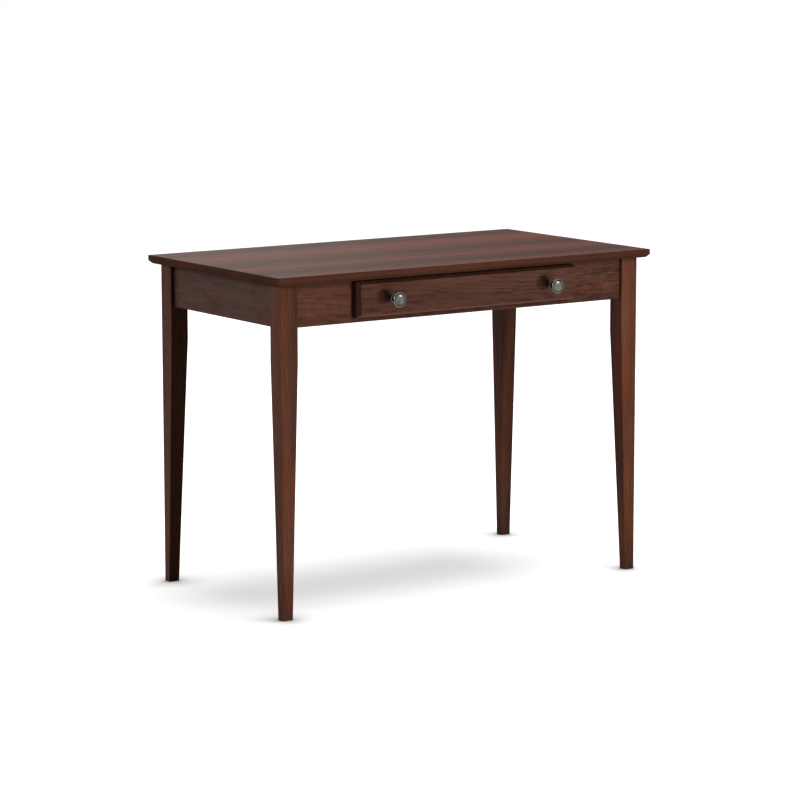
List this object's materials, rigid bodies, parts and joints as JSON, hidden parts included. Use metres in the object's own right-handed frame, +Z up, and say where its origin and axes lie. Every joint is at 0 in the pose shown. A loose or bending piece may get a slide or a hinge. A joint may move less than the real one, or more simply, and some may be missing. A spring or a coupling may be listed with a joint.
{
  "type": "writing desk",
  "caption": "Writing desk with a flat bevel-edged top, square tapered legs, recessed aprons and a wide shallow drawer that slides out, with round metal knobs.",
  "frame": {"origin": "centre of the bounding box at floor level, knobs included, so it lies 17.4 mm in front of the middle of the top", "axes": "+X along the desk's width to the right of someone seated at it, +Y from the drawer side to the back, +Z up"},
  "size_m": [1.016, 0.5948, 0.757],
  "materials": {
    "stained_wood": "satin lacquer over dark reddish brown stain",
    "maple": "satin clear lacquer on light hardwood, for the drawer box and the parts inside the case",
    "pewter": "satin antique pewter plating",
    "zinc": "bright zinc plating"
  },
  "bodies": {
    "desk": {"top_board_1": "stained_wood", "top_board_2": "stained_wood", "top_board_3": "stained_wood", "top_board_4": "stained_wood", "top_board_5": "stained_wood", "top_board_6": "stained_wood", "leg_front_left": "stained_wood", "leg_front_right": "stained_wood", "leg_back_left": "stained_wood", "leg_back_right": "stained_wood", "apron_left": "stained_wood", "apron_right": "stained_wood", "apron_back": "stained_wood", "top_rail": "stained_wood", "bottom_rail": "stained_wood", "front_board_left": "stained_wood", "front_board_right": "stained_wood", "runner_left": "maple", "runner_right": "maple", "guide_left": "maple", "guide_right": "maple", "kicker_left": "maple", "kicker_right": "maple", "top_buttons": "maple", "button_screws": "zinc", "rail_screws": "zinc"},
    "drawer": {"drawer_front": "stained_wood", "box_front": "maple", "box_side_left": "maple", "box_side_right": "maple", "box_back": "maple", "box_bottom": "maple", "panel_screws": "zinc", "front_screws": "zinc", "knob_left": "pewter", "knob_right": "pewter", "knob_screws": "zinc"}
  },
  "joints": [
    {"name": "drawer_slide", "type": "slide", "parent": "desk", "child": "drawer", "axis": [0, -1, 0], "range_m": [0, 0.3]}
  ]
}
